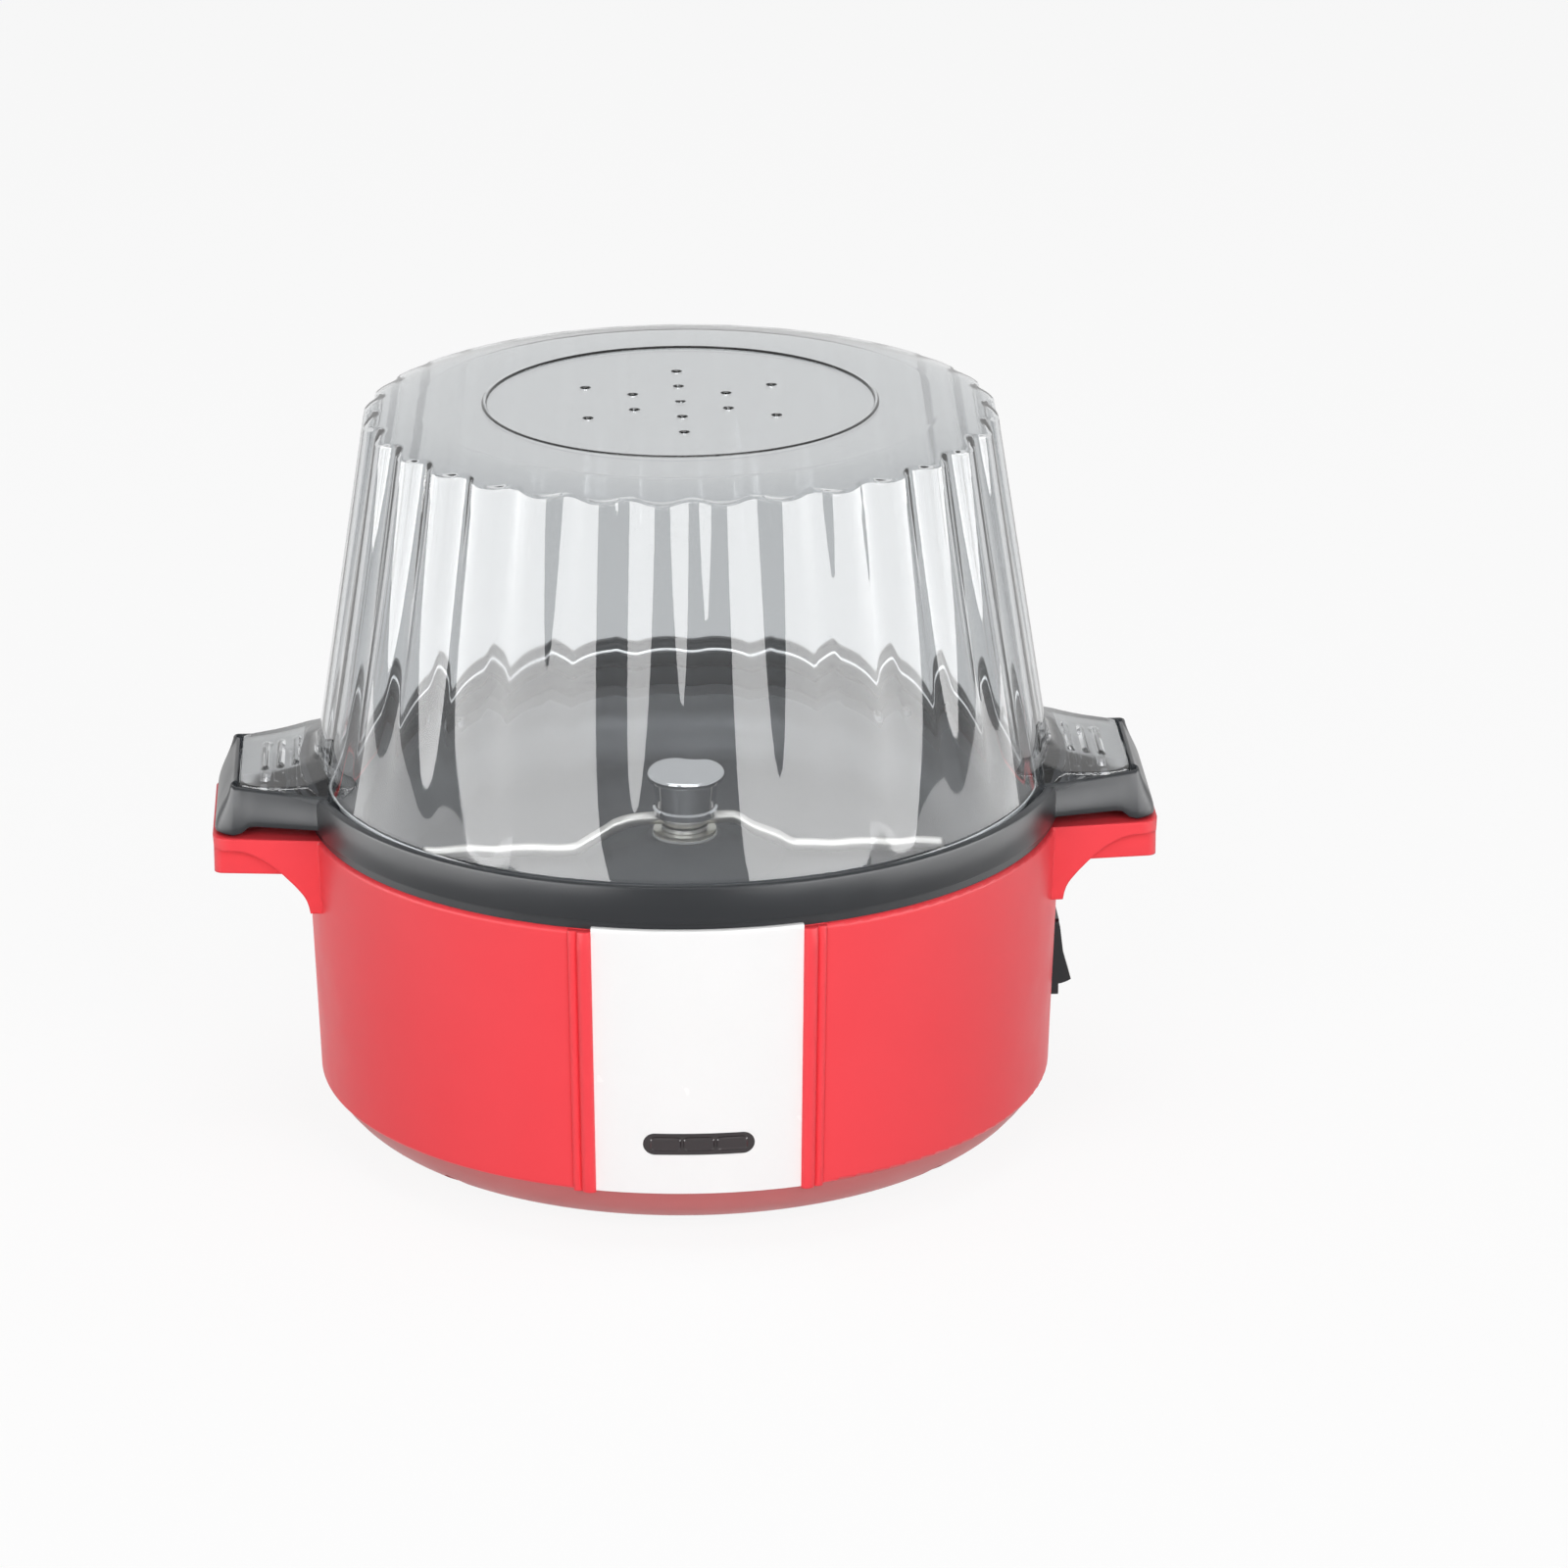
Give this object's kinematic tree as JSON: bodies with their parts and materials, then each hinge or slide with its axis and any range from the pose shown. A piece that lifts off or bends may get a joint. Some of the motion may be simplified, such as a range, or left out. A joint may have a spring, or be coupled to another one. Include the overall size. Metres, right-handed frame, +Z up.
{
  "type": "popcorn maker",
  "caption": "Tabletop popcorn maker: a round red housing with lifting wings, a heated pan with a turning wire stirrer and a lift-off clear fluted dome on a black collar.",
  "frame": {"origin": "middle of the footprint, on the plane of the table under the feet", "axes": "+Z up, +X towards the wing on the switch side, -Y towards the white front panel"},
  "size_m": [0.3, 0.243, 0.24],
  "materials": {
    "red_plastic": "glossy moulded",
    "white_plastic": "glossy moulded",
    "black_plastic": "satin moulded",
    "clear_plastic": "clear polished",
    "dark_lens": "smoked clear",
    "lamp_plastic": "clear lamps on a pale holder",
    "pale_plastic": "moulded",
    "dish_plastic": "satin moulded",
    "nonstick": "dark non-stick coating",
    "bright_aluminium": "pressed sheet",
    "plated_steel": "zinc plated",
    "wire_steel": "polished wire",
    "heater_sheath": "heat-tinted sheath",
    "motor_steel": "plated can",
    "chrome": "polished",
    "brass": "turned",
    "grey_silicone": "soft",
    "black_rubber": "soft"
  },
  "bodies": {
    "base": {"base_shell": "red_plastic", "front_panel": "white_plastic", "panel_trim_left": "red_plastic", "panel_trim_right": "red_plastic", "indicator_lens": "dark_lens", "indicator_lamps": "lamp_plastic", "bottom_dish": "dish_plastic", "dish_screws": "plated_steel", "rubber_feet": "black_rubber", "popping_pan": "nonstick", "pan_gasket": "grey_silicone", "pan_screws": "plated_steel", "heating_element": "heater_sheath", "thermostat": "black_plastic", "thermal_cutout": "bright_aluminium", "pan_studs": "plated_steel", "heat_shield": "bright_aluminium", "bracket_spacers": "plated_steel", "motor_bracket": "plated_steel", "bracket_nuts": "plated_steel", "gear_motor": "motor_steel", "motor_screws": "plated_steel", "shaft_seal": "grey_silicone", "shaft_bush": "brass", "bush_nut": "brass", "switch_frame": "black_plastic", "cord_gland": "black_plastic", "gland_nut": "black_plastic", "terminal_block": "pale_plastic"},
    "stirrer": {"drive_shaft": "plated_steel", "stir_rod": "wire_steel", "thumb_nut": "chrome"},
    "lid": {"dome": "clear_plastic", "collar_ring": "black_plastic", "lid_screws": "plated_steel"},
    "rocker": {"switch_rocker": "black_plastic"}
  },
  "joints": [
    {"name": "lid_lift", "type": "slide", "parent": "base", "child": "lid", "axis": [0, 0, 1], "range_m": [0, 0.2]},
    {"name": "stirrer_spin", "type": "hinge", "parent": "base", "child": "stirrer", "pos_m": [0, 0, 0.0902], "axis": [0, 0, 1], "continuous": true},
    {"name": "rocker_tilt", "type": "hinge", "parent": "base", "child": "rocker", "pos_m": [0.11932, 0, 0.053], "axis": [0, 1, 0], "range_deg": [0, 22.9]}
  ]
}
